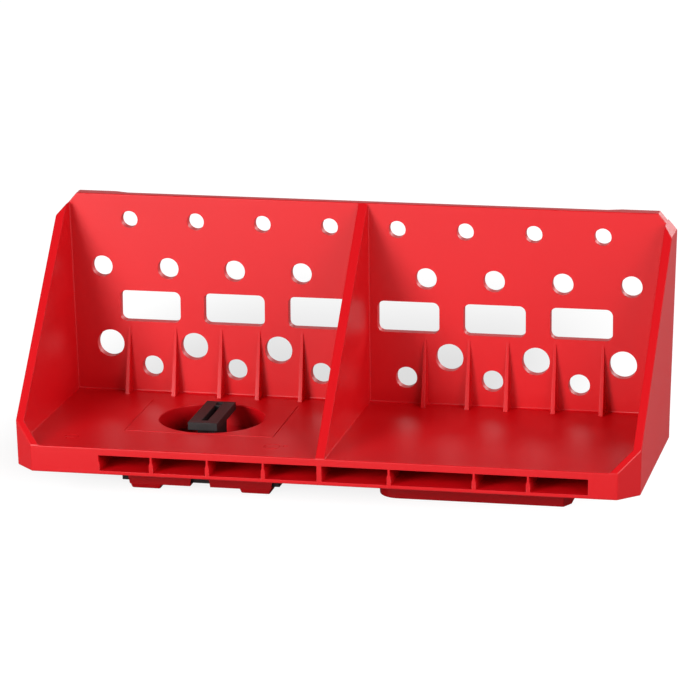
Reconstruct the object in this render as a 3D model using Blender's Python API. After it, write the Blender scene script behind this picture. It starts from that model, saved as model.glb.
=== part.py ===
"""Screwdriver rack with a pull latch in its left foot.

Metres, +Z up, standing on its feet. X runs along the rack and Y from its open front to the
perforated panel. The origin is the middle of the width and depth, level with the feet's undersides.
Most places are given as x, the depth behind the front lip, and the height above the rack's floor.
"""
import math

import bmesh
import bpy
from mathutils import Matrix, Vector

# Whole rack
base_width = 0.500
rack_depth = 0.188
base_depth = 0.177
panel_height = 0.165
base_thickness = 0.0216
foot_drop = 0.0271

# Clearances and helpers
assembly_gap = 0.0003
running_gap = 0.0012
cut_overrun = 0.003
weld_depth = 0.001
round_sides = 24
well_sides = 48

# Floor plate
corner_chamfer = 0.016
front_lip = 0.006
bottom_skin = 0.0031
channel_rear_wall = 0.010
web_top = 0.0018
web_foot = 0.0033
middle_web = 0.0040
web_step_share = 0.36
web_slope_share = 0.10
web_place_shares = (-0.546, -0.364, -0.1836, -0.0032, 0.2188, 0.4878, 0.6582)
channel_end_shares = (-0.7164, 0.8456)
channels_before_housing = 3
pocket_roof = 0.0045
pocket_rib = 0.0025
pocket_rows = 4

# Perforated panel
panel_thickness = 0.0082
panel_lean_share = 0.0362
rear_ledge = 0.0020
small_hole_radius = 0.00696
middle_hole_radius = 0.00875
big_hole_radius = 0.01133
slot_width = 0.051
slot_height = 0.0257
slot_corner = 0.0055
top_row_height_share = 0.874
second_row_height_share = 0.632
slot_row_height_share = 0.436
big_row_height_share = 0.2406
low_row_height_share = 0.1315
top_row_shares = (0.112, 0.336, 0.560, 0.784)
second_row_shares = (0.2072, 0.431, 0.6548, 0.8786)
slot_row_shares = (0.1488, 0.4328, 0.7168)
big_row_shares = (0.2848, 0.5688, 0.8532)
low_row_shares = (0.142, 0.4264, 0.7108)
rib_shares = (0.2048, 0.3496, 0.4772, 0.632, 0.7888)
rib_height_share = 0.336
rib_reach = 0.0115
rib_foot = 0.003
rib_tip = 0.0015
corner_pad_depth = 0.0035
corner_pad_height = 0.014
corner_pad_start_share = 0.78
corner_pad_full_share = 0.85

# End walls and divider
wall_thickness = 0.0068
wall_outer_lean_share = 0.0228
wall_inner_lean_share = 0.033
wall_inner_taper_share = 0.0127
top_chamfer_width = 0.0137
top_chamfer_height = 0.0163
divider_thickness = 0.0077
divider_rear_draft_share = 0.0078
divider_top_draft_share = 0.0073

# Latch housing
housing_place_share = -0.4428
housing_depth = 0.0979
window_length = 0.0912
window_side_room = 0.0154
flange_thickness = 0.003
side_ledge = 0.0015
end_ledge = 0.0006
housing_wall = 0.002
sleeve_wall = 0.0018
sleeve_height = 0.015
hook_reach = 0.0014
hook_height = 0.003
hook_length = 0.012
hook_place = 0.024

# Left foot
tray_floor = 0.002
tray_wall = 0.0051
nub_height = 0.004
nub_width = 0.0233
nub_length = 0.0165
foot_draft = 0.0015
tray_draft = 0.001
notch_width = 0.0172
notch_taper = 0.0012
notch_depth = 0.013
boss_radius = 0.0036
boss_side_inset = 0.0092
boss_end_inset = 0.0102

# Latch
latch_thickness = 0.005
latch_travel = 0.008
latch_clearance = 0.0008
ear_reach = 0.0057
ear_length = 0.023
bar_width = 0.0242
bar_end_room = 0.0105
bar_thickness = 0.0065
bar_rise = 0.0052
stem_width = 0.014
stem_inset = 0.0121
bar_slot_width = 0.005
bar_slot_start = 0.0073
bar_slot_end = 0.0038
bar_web = 0.0015
bar_pocket_length = 0.0069
stem_pocket_depth = 0.012
stem_pocket_end = 0.003
bar_screw_inset = 0.007

# Latch springs
spring_place_share = 0.515625
spring_radius = 0.0040
spring_wire_radius = 0.00045
spring_turns = 9
spring_points_per_turn = 9
post_radius = 0.0024
post_length = 0.016

# Right foot
pad_place_share = 0.438
pad_front = 0.0605
pad_width = 0.159
pad_length = 0.0745
pad_wall = 0.0025
pad_floor = 0.004
pad_round = 0.019
pad_chamfer_across = 0.005
pad_chamfer_along = 0.0097
pad_round_steps = 6
pad_boss_inset = 0.018

# Screws
screw_head_radius = 0.0029
screw_head_height = 0.002
screw_shank_radius = 0.0014
screw_length = 0.014
screw_recess_width = 0.001
screw_recess_span = 0.0034
screw_recess_depth = 0.0011

# Heights and places that follow from the sizes
half_width = base_width / 2
front_y = -rack_depth / 2
floor_z = foot_drop + base_thickness
ground = -floor_z
panel_foot = base_depth - rear_ledge - panel_thickness
housing_x = half_width * housing_place_share
window_width = window_length + 2 * window_side_room
skirt_half_width = window_width / 2 - side_ledge - assembly_gap
skirt_half_length = window_length / 2 - end_ledge - assembly_gap
well_radius = skirt_half_length - assembly_gap - sleeve_wall
sleeve_radius = well_radius + sleeve_wall
spring_room = skirt_half_width - housing_wall - sleeve_radius
spring_place = sleeve_radius + spring_room * spring_place_share
boss_across = skirt_half_width - boss_side_inset
boss_along = skirt_half_length - boss_end_inset
bar_length = 2 * (well_radius - bar_end_room)
bar_slot_length = bar_length - bar_slot_start - bar_web - bar_pocket_length - bar_slot_end
stem_length = bar_length - 2 * stem_inset
bar_screw_spacing = stem_length - 2 * bar_screw_inset
tray_underside = ground + nub_height
tray_top = tray_underside + tray_floor + tray_wall
skirt_bottom = tray_top + assembly_gap
latch_bottom = tray_underside + tray_floor + assembly_gap
latch_top = latch_bottom + latch_thickness
screw_seat = assembly_gap + screw_head_height + assembly_gap


def clear_scene():
    for old in list(bpy.data.objects):
        bpy.data.objects.remove(old)


def finish(name, red, green, blue, roughness, metallic):
    """Material with one plain finish."""
    material = bpy.data.materials.new(name)
    material.use_nodes = True
    shader = material.node_tree.nodes["Principled BSDF"]
    shader.inputs["Base Color"].default_value = (red, green, blue, 1)
    shader.inputs["Roughness"].default_value = roughness
    shader.inputs["Metallic"].default_value = metallic
    return material


def at(x, depth, height):
    """Point x across, depth behind the front lip and height above the floor."""
    return Vector((x, front_y + depth, floor_z + height))


def outer_x(height):
    return half_width + wall_outer_lean_share * (height + base_thickness)


def inner_x(depth, height):
    drafted = wall_inner_lean_share * height - wall_inner_taper_share * depth
    return outer_x(0) - wall_thickness + drafted


def panel_front(height):
    return panel_foot + panel_lean_share * height


def wall_rear(height):
    """Rear edge of the end walls, which leans out until the top chamfer starts."""
    lean = (rack_depth - base_depth) / (panel_height - top_chamfer_height)
    return base_depth + lean * height


def loft(bm, lower, upper):
    """Closed solid between two outlines with matching points."""
    face = bm.faces.new([bm.verts.new(point) for point in lower])
    grown = bmesh.ops.extrude_face_region(bm, geom=[face])["geom"]
    for vert in grown:
        if isinstance(vert, bmesh.types.BMVert):
            nearest = min(range(len(lower)), key=lambda i: (vert.co - lower[i]).length)
            vert.co = upper[nearest]


def block(bm, x_range, depth_range, height_range):
    """Square block between pairs of x, depth and height."""
    plan = [(x, y) for x, y in zip((x_range[0], x_range[1], x_range[1], x_range[0]),
                                   (depth_range[0], depth_range[0], depth_range[1], depth_range[1]))]
    loft(bm, [at(x, y, height_range[0]) for x, y in plan], [at(x, y, height_range[1]) for x, y in plan])


def round_bar(bm, x, depth, radius, height_range, sides=round_sides):
    """Upright round bar."""
    low, high = height_range
    turn = Matrix.Translation(at(x, depth, (low + high) / 2))
    bmesh.ops.create_cone(bm, cap_ends=True, segments=sides, radius1=radius, radius2=radius,
                          depth=high - low, matrix=turn)


def slice_off(bm, point, normal):
    """Cuts the solid with a plane, drops the side that the normal points to and closes the cut."""
    everything = bm.verts[:] + bm.edges[:] + bm.faces[:]
    cut = bmesh.ops.bisect_plane(bm, geom=everything, plane_co=point, plane_no=normal, clear_outer=True)
    rim = [edge for edge in cut["geom_cut"] if isinstance(edge, bmesh.types.BMEdge)]
    bmesh.ops.contextual_create(bm, geom=rim)


def piece(name, bm, material):
    """Named object from a bmesh, with round faces shaded smooth."""
    bmesh.ops.recalc_face_normals(bm, faces=bm.faces)
    mesh = bpy.data.meshes.new(name)
    bm.to_mesh(mesh)
    bm.free()
    mesh.shade_smooth()
    mesh.set_sharp_from_angle(angle=math.radians(30))
    made = bpy.data.objects.new(name, mesh)
    bpy.context.scene.collection.objects.link(made)
    if material:
        made.data.materials.append(material)
    return made


def combine(target, operation, name, shape):
    """Cuts the target with a tool shape, or welds the shape to it."""
    tool = piece(name, shape, None)
    tool.hide_render = True
    tool.display_type = "WIRE"
    step = target.modifiers.new(name, "BOOLEAN")
    step.operation = operation
    step.object = tool


def base_outline(height):
    reach = outer_x(height)
    half = [(reach - corner_chamfer, 0), (reach, corner_chamfer), (reach, base_depth)]
    plan = half + [(-x, depth) for x, depth in reversed(half)]
    return [at(x, depth, height) for x, depth in plan]


def channel_sections():
    """For each channel: its left and right edges in the upper part, and how far each steps in below."""
    half_step = (web_foot - web_top) / 2
    webs = [(half_width * share, web_top / 2, half_step) for share in web_place_shares]
    middle = channels_before_housing
    webs[middle] = (webs[middle][0], middle_web / 2, 0)
    first = (half_width * channel_end_shares[0], 0, half_step)
    last = (half_width * channel_end_shares[1], 0, 0)
    rows = [first] + webs + [last]
    for left, right in zip(rows, rows[1:]):
        yield left[0] + left[1], right[0] - right[1], left[2], right[2]


def channel_cutter():
    """The open channels, wider in their upper part, as one group of separate bars."""
    bm = bmesh.new()
    top = -front_lip
    foot = bottom_skin - base_thickness
    step_top = top + (foot - top) * web_step_share
    step_foot = step_top + (foot - top) * web_slope_share
    for number, (left, right, left_step, right_step) in enumerate(channel_sections()):
        section = [(left, top), (right, top), (right, step_top), (right - right_step, step_foot),
                   (right - right_step, foot), (left + left_step, foot),
                   (left + left_step, step_foot), (left, step_top)]
        if number < channels_before_housing:
            rear = housing_depth - window_length / 2 - bottom_skin
        else:
            rear = panel_foot - channel_rear_wall
        front = [at(x, -cut_overrun, height) for x, height in section]
        loft(bm, front, [at(x, rear, height) for x, height in section])
    return bm


def window_cutter():
    """Rebate and opening that the latch housing drops into."""
    bm = bmesh.new()
    half_across = window_width / 2
    half_along = window_length / 2
    seat = -flange_thickness - assembly_gap
    block(bm, (housing_x - half_across, housing_x + half_across),
          (housing_depth - half_along, housing_depth + half_along), (seat, cut_overrun))
    return bm


def skirt_opening():
    bm = bmesh.new()
    half_across = skirt_half_width + assembly_gap
    half_along = skirt_half_length + assembly_gap
    block(bm, (housing_x - half_across, housing_x + half_across),
          (housing_depth - half_along, housing_depth + half_along),
          (-base_thickness - cut_overrun, 0))
    return bm


def pocket_cutter():
    """Pockets that core out the plate's ends and the strip behind the latch housing, from below."""
    bm = bmesh.new()
    levels = (-base_thickness - cut_overrun, -pocket_roof)
    left_end = -half_width + wall_thickness
    right_end = half_width - wall_thickness
    left_start = half_width * channel_end_shares[0] - web_foot
    right_start = half_width * channel_end_shares[1] + web_foot
    middle = (left_end + left_start) / 2
    columns = [(left_end, middle - pocket_rib / 2), (middle + pocket_rib / 2, left_start),
               (right_start, right_end)]
    front = corner_chamfer + pocket_rib
    rear = base_depth - rear_ledge
    row = (rear - front) / pocket_rows
    for column in columns:
        for number in range(pocket_rows):
            block(bm, column, (front + number * row, front + (number + 1) * row - pocket_rib), levels)
    strip_front = housing_depth + window_length / 2 + pocket_rib
    reach = skirt_half_width
    third = 2 * reach / 3
    for number in range(3):
        start = housing_x - reach + number * third
        block(bm, (start, start + third - pocket_rib), (strip_front, rear), levels)
    return bm


def pad_boss_places():
    centre = half_width * pad_place_share
    across = pad_width / 2 - pad_boss_inset
    middle = pad_front + pad_length / 2
    along = pad_length / 2 - pad_boss_inset
    return [(centre + sx * across, middle + sy * along) for sx in (-1, 1) for sy in (-1, 1)]


def base_boss_shape():
    bm = bmesh.new()
    levels = (ground + pad_floor + assembly_gap, weld_depth - base_thickness)
    for x, depth in pad_boss_places():
        round_bar(bm, x, depth, boss_radius, levels)
    return bm


def pilot_cutter(places, low):
    """Blind screw holes upwards from the height low."""
    bm = bmesh.new()
    for x, depth in places:
        round_bar(bm, x, depth, screw_shank_radius + assembly_gap, (low - cut_overrun, low + screw_length))
    return bm


def make_base(material):
    bm = bmesh.new()
    loft(bm, base_outline(-base_thickness), base_outline(0))
    base = piece("rack_base", bm, material)
    combine(base, "DIFFERENCE", "channel_tools", channel_cutter())
    combine(base, "DIFFERENCE", "window_tool", window_cutter())
    combine(base, "DIFFERENCE", "skirt_opening_tool", skirt_opening())
    combine(base, "DIFFERENCE", "pocket_tools", pocket_cutter())
    combine(base, "UNION", "base_bosses", base_boss_shape())
    boss_foot = ground + pad_floor + assembly_gap
    combine(base, "DIFFERENCE", "base_pilot_tools", pilot_cutter(pad_boss_places(), boss_foot))


def top_chamfer_plane(side):
    """A point on the chamfer at the panel's top corner, and its outward normal."""
    point = at(side * outer_x(panel_height), 0, panel_height - top_chamfer_height)
    return point, Vector((side * top_chamfer_height, 0, top_chamfer_width)).normalized()


def panel_outline(side, height):
    """Plan of one half of the panel at one height, clear of its end wall and of the other half."""
    front = panel_front(height)
    rear = front + panel_thickness
    outer = [at(side * (inner_x(depth, height) - assembly_gap), depth, height) for depth in (front, rear)]
    middle = [at(side * assembly_gap / 2, depth, height) for depth in (rear, front)]
    return outer + middle


def hole_cutter(side):
    """Every round hole in one half of the panel, as level bars along Y."""
    bm = bmesh.new()
    rows = ((top_row_height_share, top_row_shares, small_hole_radius),
            (second_row_height_share, second_row_shares, middle_hole_radius),
            (big_row_height_share, big_row_shares, big_hole_radius),
            (low_row_height_share, low_row_shares, middle_hole_radius))
    length = panel_thickness + 2 * cut_overrun
    for height_share, shares, radius in rows:
        height = panel_height * height_share
        for share in shares:
            middle = at(side * half_width * share, panel_front(height) + panel_thickness / 2, height)
            place = Matrix.Translation(middle) @ Matrix.Rotation(math.pi / 2, 4, "X")
            bmesh.ops.create_cone(bm, cap_ends=True, segments=round_sides, radius1=radius,
                                  radius2=radius, depth=length, matrix=place)
    return bm


def slot_outline(x, height):
    """Rounded rectangle in the panel's plane, as (x, height) points."""
    points = []
    corner_steps = round_sides // 4
    across = slot_width / 2 - slot_corner
    upright = slot_height / 2 - slot_corner
    for quarter, (sx, sz) in enumerate(((1, 1), (-1, 1), (-1, -1), (1, -1))):
        for step in range(corner_steps + 1):
            turn = (quarter + step / corner_steps) * math.pi / 2
            points.append((x + sx * across + slot_corner * math.cos(turn),
                           height + sz * upright + slot_corner * math.sin(turn)))
    return points


def slot_cutter(side):
    bm = bmesh.new()
    height = panel_height * slot_row_height_share
    front = panel_front(height) - cut_overrun
    rear = panel_front(height) + panel_thickness + cut_overrun
    for share in slot_row_shares:
        outline = slot_outline(side * half_width * share, height)
        loft(bm, [at(x, front, z) for x, z in outline], [at(x, rear, z) for x, z in outline])
    return bm


def rib_shape(side):
    """Small tapering ribs between the panel and the floor."""
    bm = bmesh.new()
    top = panel_height * rib_height_share
    foot_front = panel_front(0) - rib_reach
    for share in rib_shares:
        x = side * half_width * share
        lower = [at(x - rib_foot / 2, foot_front, assembly_gap),
                 at(x + rib_foot / 2, foot_front, assembly_gap),
                 at(x + rib_foot / 2, panel_front(0) + weld_depth, assembly_gap),
                 at(x - rib_foot / 2, panel_front(0) + weld_depth, assembly_gap)]
        upper = [at(x - rib_tip / 2, panel_front(top), top),
                 at(x + rib_tip / 2, panel_front(top), top),
                 at(x + rib_tip / 2, panel_front(top) + weld_depth, top),
                 at(x - rib_tip / 2, panel_front(top) + weld_depth, top)]
        loft(bm, lower, upper)
    return bm


def corner_pad_shape(side):
    """Thicker pad behind the panel's top corner, tapering out along the panel."""
    bm = bmesh.new()
    outlines = []
    for height in (panel_height - corner_pad_height, panel_height):
        rear = panel_front(height) + panel_thickness
        reach = inner_x(rear, height) - 2 * assembly_gap
        plan = ((half_width * corner_pad_start_share, rear - weld_depth), (reach, rear - weld_depth),
                (reach, rear + corner_pad_depth),
                (half_width * corner_pad_full_share, rear + corner_pad_depth),
                (half_width * corner_pad_start_share, rear))
        outlines.append([at(side * x, depth, height) for x, depth in plan])
    loft(bm, outlines[0], outlines[1])
    slice_off(bm, *top_chamfer_plane(side))
    return bm


def make_panel(name, side, material):
    bm = bmesh.new()
    loft(bm, panel_outline(side, assembly_gap), panel_outline(side, panel_height))
    slice_off(bm, *top_chamfer_plane(side))
    panel = piece(name, bm, material)
    combine(panel, "UNION", name + "_ribs", rib_shape(side))
    combine(panel, "UNION", name + "_corner_pad", corner_pad_shape(side))
    combine(panel, "DIFFERENCE", name + "_hole_tools", hole_cutter(side))
    combine(panel, "DIFFERENCE", name + "_slot_tools", slot_cutter(side))


def slope_plane():
    """The plane from the front lip's top edge to the panel's top, and its outward normal."""
    run = panel_front(panel_height)
    return at(0, 0, 0), Vector((0, -panel_height, run)).normalized()


def wall_outline(side, height):
    """Plan of an end wall at one height, from its chamfered front corner to its rear rim."""
    reach = outer_x(height)
    rear = wall_rear(height)
    elbow = inner_x(corner_chamfer, height)
    plan = [(reach - corner_chamfer, 0), (reach, corner_chamfer), (reach, rear),
            (inner_x(rear, height), rear), (elbow, corner_chamfer), (elbow - corner_chamfer, 0)]
    return [at(side * x, depth, height) for x, depth in plan]


def make_end_wall(name, side, material):
    bm = bmesh.new()
    loft(bm, wall_outline(side, assembly_gap), wall_outline(side, panel_height))
    slice_off(bm, *slope_plane())
    slice_off(bm, *top_chamfer_plane(side))
    slice_off(bm, at(0, rack_depth, 0), Vector((0, 1, 0)))
    piece(name, bm, material)


def divider_outline(height):
    plan = []
    for side, depths in ((-1, (panel_front(height) - assembly_gap, 0)),
                         (1, (0, panel_front(height) - assembly_gap))):
        for depth in depths:
            draft = divider_rear_draft_share * depth - divider_top_draft_share * height
            plan.append(at(side * (divider_thickness / 2 + draft), depth, height))
    return plan


def make_divider(material):
    bm = bmesh.new()
    loft(bm, divider_outline(assembly_gap), divider_outline(panel_height))
    slice_off(bm, *slope_plane())
    piece("centre_divider", bm, material)


def housing_block(bm, half_across, half_along, levels):
    block(bm, (housing_x - half_across, housing_x + half_across),
          (housing_depth - half_along, housing_depth + half_along), levels)


def four_places(across, along):
    return [(housing_x + sx * across, housing_depth + sy * along) for sx in (-1, 1) for sy in (-1, 1)]


def skirt_shape():
    bm = bmesh.new()
    housing_block(bm, skirt_half_width, skirt_half_length, (skirt_bottom, -weld_depth))
    return bm


def cavity_cutter():
    bm = bmesh.new()
    housing_block(bm, skirt_half_width - housing_wall, skirt_half_length - housing_wall,
                  (skirt_bottom - cut_overrun, -flange_thickness))
    return bm


def housing_inside_shape():
    """Sleeve round the finger well, screw bosses and spring posts under the flange."""
    bm = bmesh.new()
    ceiling = weld_depth - flange_thickness
    sleeve_foot = -flange_thickness - sleeve_height
    round_bar(bm, housing_x, housing_depth, sleeve_radius, (sleeve_foot, ceiling), well_sides)
    boss_foot = tray_underside + tray_floor + assembly_gap
    for x, depth in four_places(boss_across, boss_along):
        round_bar(bm, x, depth, boss_radius, (boss_foot, ceiling))
    for side in (-1, 1):
        round_bar(bm, housing_x + side * spring_place, housing_depth, post_radius,
                  (-flange_thickness - post_length, ceiling), round_sides // 2)
    return bm


def hook_shape():
    """Snap hooks that catch under the floor plate on both sides of the housing."""
    bm = bmesh.new()
    top = -base_thickness - assembly_gap
    for side in (-1, 1):
        root = housing_x + side * (skirt_half_width - weld_depth)
        tip = housing_x + side * (skirt_half_width + hook_reach)
        for place in (-hook_place, hook_place):
            near = housing_depth + place - hook_length / 2
            section = [(root, top), (tip, top), (root, top - hook_height)]
            loft(bm, [at(x, near, height) for x, height in section],
                 [at(x, near + hook_length, height) for x, height in section])
    return bm


def well_cutter():
    bm = bmesh.new()
    foot = -flange_thickness - sleeve_height - cut_overrun
    round_bar(bm, housing_x, housing_depth, well_radius, (foot, cut_overrun), well_sides)
    return bm


def ear_window_cutter():
    """Windows in the skirt's sides that the latch's ears rise in."""
    bm = bmesh.new()
    top = latch_top + latch_travel + latch_clearance
    far = skirt_half_length - housing_wall
    near = far - running_gap - ear_length - running_gap
    for side in (-1, 1):
        inside = housing_x + side * (skirt_half_width - housing_wall - weld_depth)
        outside = housing_x + side * (skirt_half_width + cut_overrun)
        for end in (-1, 1):
            depths = sorted((housing_depth + end * near, housing_depth + end * far))
            block(bm, sorted((inside, outside)), depths, (skirt_bottom - cut_overrun, top))
    return bm


def make_housing(material):
    bm = bmesh.new()
    housing_block(bm, window_width / 2 - assembly_gap, window_length / 2 - assembly_gap,
                  (-flange_thickness, 0))
    housing = piece("latch_housing", bm, material)
    combine(housing, "UNION", "housing_skirt", skirt_shape())
    combine(housing, "DIFFERENCE", "housing_cavity_tool", cavity_cutter())
    combine(housing, "UNION", "housing_inside", housing_inside_shape())
    combine(housing, "UNION", "housing_hooks", hook_shape())
    combine(housing, "DIFFERENCE", "well_tool", well_cutter())
    combine(housing, "DIFFERENCE", "ear_window_tools", ear_window_cutter())
    boss_foot = tray_underside + tray_floor + assembly_gap
    pilots = pilot_cutter(four_places(boss_across, boss_along), boss_foot)
    combine(housing, "DIFFERENCE", "housing_pilot_tools", pilots)


def tray_outline(inset, height):
    across = skirt_half_width - inset
    along = skirt_half_length - inset
    return [at(housing_x + sx * across, housing_depth + sy * along, height)
            for sx, sy in ((-1, -1), (1, -1), (1, 1), (-1, 1))]


def nub_shape():
    """Four drafted nubs under the tray's corners."""
    bm = bmesh.new()
    top = tray_underside + weld_depth
    for sx in (-1, 1):
        for sy in (-1, 1):
            outlines = []
            for height, spread in ((ground, 0), (top, foot_draft)):
                far_x = skirt_half_width - tray_draft - foot_draft + spread
                far_y = skirt_half_length - tray_draft - foot_draft + spread
                near_x = far_x - nub_width - 2 * spread
                near_y = far_y - nub_length - 2 * spread
                corners = ((near_x, near_y), (far_x, near_y), (far_x, far_y), (near_x, far_y))
                outlines.append([at(housing_x + sx * x, housing_depth + sy * y, height)
                                 for x, y in corners])
            loft(bm, outlines[0], outlines[1])
    return bm


def tray_cavity_cutter():
    bm = bmesh.new()
    housing_block(bm, skirt_half_width - housing_wall, skirt_half_length - housing_wall,
                  (tray_underside + tray_floor, tray_top + cut_overrun))
    return bm


def tray_notch_cutter():
    """Drafted notch in the middle of the tray's front and rear edges."""
    bm = bmesh.new()
    for end in (-1, 1):
        outlines = []
        for height, inset in ((tray_underside - cut_overrun, 0), (tray_top + cut_overrun, notch_taper)):
            half = notch_width / 2 - inset
            inner = skirt_half_length - notch_depth
            outer = skirt_half_length + cut_overrun
            outlines.append([at(housing_x + sx * half, housing_depth + end * depth, height)
                             for sx, depth in ((-1, inner), (1, inner), (1, outer), (-1, outer))])
        loft(bm, outlines[0], outlines[1])
    return bm


def tray_ear_cutter():
    """Openings in the tray's side walls that the latch's ears lie in."""
    bm = bmesh.new()
    far = skirt_half_length - housing_wall
    near = far - running_gap - ear_length - running_gap
    for side in (-1, 1):
        inside = housing_x + side * (skirt_half_width - housing_wall - weld_depth)
        outside = housing_x + side * (skirt_half_width + cut_overrun)
        for end in (-1, 1):
            depths = sorted((housing_depth + end * near, housing_depth + end * far))
            block(bm, sorted((inside, outside)), depths,
                  (tray_underside + tray_floor, tray_top + cut_overrun))
    return bm


def cut_screw_holes(target, name, places, underside, top):
    """Holes through a bottom, each with a wider seat for the screw's head from below."""
    seats = bmesh.new()
    holes = bmesh.new()
    for x, depth in places:
        round_bar(seats, x, depth, screw_head_radius + assembly_gap,
                  (underside - cut_overrun, underside + screw_seat))
        round_bar(holes, x, depth, screw_shank_radius + assembly_gap,
                  (underside - cut_overrun, top + cut_overrun))
    combine(target, "DIFFERENCE", name + "_seat_tools", seats)
    combine(target, "DIFFERENCE", name + "_hole_tools", holes)


def make_left_foot(material):
    bm = bmesh.new()
    loft(bm, tray_outline(tray_draft, tray_underside), tray_outline(0, tray_top))
    foot = piece("foot_left", bm, material)
    combine(foot, "UNION", "foot_nubs", nub_shape())
    combine(foot, "DIFFERENCE", "tray_cavity_tool", tray_cavity_cutter())
    combine(foot, "DIFFERENCE", "tray_notch_tools", tray_notch_cutter())
    combine(foot, "DIFFERENCE", "tray_ear_tools", tray_ear_cutter())
    cut_screw_holes(foot, "foot_left", four_places(boss_across, boss_along), ground,
                    tray_underside + tray_floor)


def latch_outline(height):
    """Plan of the locking plate: a rectangle with an ear at each corner."""
    body = skirt_half_width - housing_wall - running_gap
    end = skirt_half_length - housing_wall - running_gap
    tip = skirt_half_width + ear_reach
    root = end - ear_length
    quarter = [(tip, end), (tip, root), (body, root)]
    right = quarter + [(x, -depth) for x, depth in reversed(quarter)]
    left = [(-x, -depth) for x, depth in right]
    return [at(housing_x + x, housing_depth + depth, height) for x, depth in right + left]


def boss_clearance_cutter():
    bm = bmesh.new()
    for x, depth in four_places(boss_across, boss_along):
        round_bar(bm, x, depth, boss_radius + running_gap,
                  (latch_bottom - cut_overrun, latch_top + cut_overrun))
    return bm


def bar_screw_places():
    return [(housing_x, housing_depth + end * bar_screw_spacing / 2) for end in (-1, 1)]


def make_latch_plate(material):
    bm = bmesh.new()
    loft(bm, latch_outline(latch_bottom), latch_outline(latch_top))
    plate = piece("latch_plate", bm, material)
    combine(plate, "DIFFERENCE", "latch_clearance_tools", boss_clearance_cutter())
    cut_screw_holes(plate, "latch", bar_screw_places(), latch_bottom, latch_top)


def stem_shape():
    bm = bmesh.new()
    block(bm, (housing_x - stem_width / 2, housing_x + stem_width / 2),
          (housing_depth - stem_length / 2, housing_depth + stem_length / 2),
          (latch_top + assembly_gap, bar_rise - bar_thickness + weld_depth))
    return bm


def bar_slot_cutter():
    """Long slot and short pocket through the bar, with a thin web left between them."""
    bm = bmesh.new()
    across = (housing_x - bar_slot_width / 2, housing_x + bar_slot_width / 2)
    start = housing_depth - bar_length / 2 + bar_slot_start
    web = start + bar_slot_length
    pocket = web + bar_web
    levels = (bar_rise - bar_thickness, bar_rise + cut_overrun)
    block(bm, across, (start, web), levels)
    block(bm, across, (pocket, pocket + bar_pocket_length), (levels[0] - cut_overrun, levels[1]))
    return bm


def stem_pocket_cutter():
    bm = bmesh.new()
    half = stem_length / 2 - stem_pocket_end
    block(bm, (housing_x - bar_slot_width / 2, housing_x + bar_slot_width / 2),
          (housing_depth - half, housing_depth + half),
          (bar_rise - stem_pocket_depth, bar_rise - bar_thickness + weld_depth))
    return bm


def make_finger_bar(material):
    bm = bmesh.new()
    block(bm, (housing_x - bar_width / 2, housing_x + bar_width / 2),
          (housing_depth - bar_length / 2, housing_depth + bar_length / 2),
          (bar_rise - bar_thickness, bar_rise))
    bar = piece("finger_bar", bm, material)
    combine(bar, "UNION", "bar_stem", stem_shape())
    combine(bar, "DIFFERENCE", "bar_slot_tools", bar_slot_cutter())
    combine(bar, "DIFFERENCE", "stem_pocket_tool", stem_pocket_cutter())
    combine(bar, "DIFFERENCE", "stem_pilot_tools",
            pilot_cutter(bar_screw_places(), latch_top + assembly_gap))


def make_spring(name, side, material):
    """Compression spring between the locking plate and the housing's ceiling, one unbroken wire."""
    low = latch_top + assembly_gap + spring_wire_radius
    high = -flange_thickness - assembly_gap - spring_wire_radius
    middle_radius = spring_radius - spring_wire_radius
    count = spring_turns * spring_points_per_turn
    curve = bpy.data.curves.new(name, "CURVE")
    curve.dimensions = "3D"
    curve.bevel_depth = spring_wire_radius
    curve.bevel_resolution = 1
    curve.use_fill_caps = True
    spline = curve.splines.new("POLY")
    spline.points.add(count)
    for number, point in enumerate(spline.points):
        turn = 2 * math.pi * number / spring_points_per_turn
        rise = (high - low) * number / count
        point.co = (middle_radius * math.cos(turn), middle_radius * math.sin(turn), rise, 1)
    made = bpy.data.objects.new(name, curve)
    made.location = at(housing_x + side * spring_place, housing_depth, low)
    made.data.materials.append(material)
    bpy.context.scene.collection.objects.link(made)
    rise_per_turn = (high - low) / spring_turns
    print(name, "least gap between turns", round(rise_per_turn - 2 * spring_wire_radius, 5))


def recess_cutter(x, depth, head_foot):
    """Cross recess in a screw's head, open downwards."""
    arm = screw_recess_width / 2
    span = screw_recess_span / 2
    plan = [(span, -arm), (span, arm), (arm, arm), (arm, span), (-arm, span), (-arm, arm),
            (-span, arm), (-span, -arm), (-arm, -arm), (-arm, -span), (arm, -span), (arm, -arm)]
    bm = bmesh.new()
    levels = (head_foot - cut_overrun, head_foot + screw_recess_depth)
    lower, upper = [[at(x + px, depth + py, height) for px, py in plan] for height in levels]
    loft(bm, lower, upper)
    return bm


def make_screw(name, x, depth, head_foot, material):
    """Upright pan-head screw, its head at the bottom."""
    bm = bmesh.new()
    tip = head_foot + screw_head_height + screw_length
    profile = [(0, head_foot), (screw_head_radius, head_foot),
               (screw_head_radius, head_foot + screw_head_height),
               (screw_shank_radius, head_foot + screw_head_height),
               (screw_shank_radius, tip - screw_shank_radius), (0, tip)]
    chain = [bm.verts.new(at(x + radius, depth, height)) for radius, height in profile]
    edges = [bm.edges.new(pair) for pair in zip(chain, chain[1:])]
    bmesh.ops.spin(bm, geom=chain + edges, cent=at(x, depth, 0), axis=(0, 0, 1),
                   angle=2 * math.pi, steps=round_sides // 2, use_merge=True)
    bmesh.ops.remove_doubles(bm, verts=bm.verts, dist=screw_shank_radius / 100)
    screw = piece(name, bm, material)
    combine(screw, "DIFFERENCE", name + "_recess_tool", recess_cutter(x, depth, head_foot))


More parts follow.
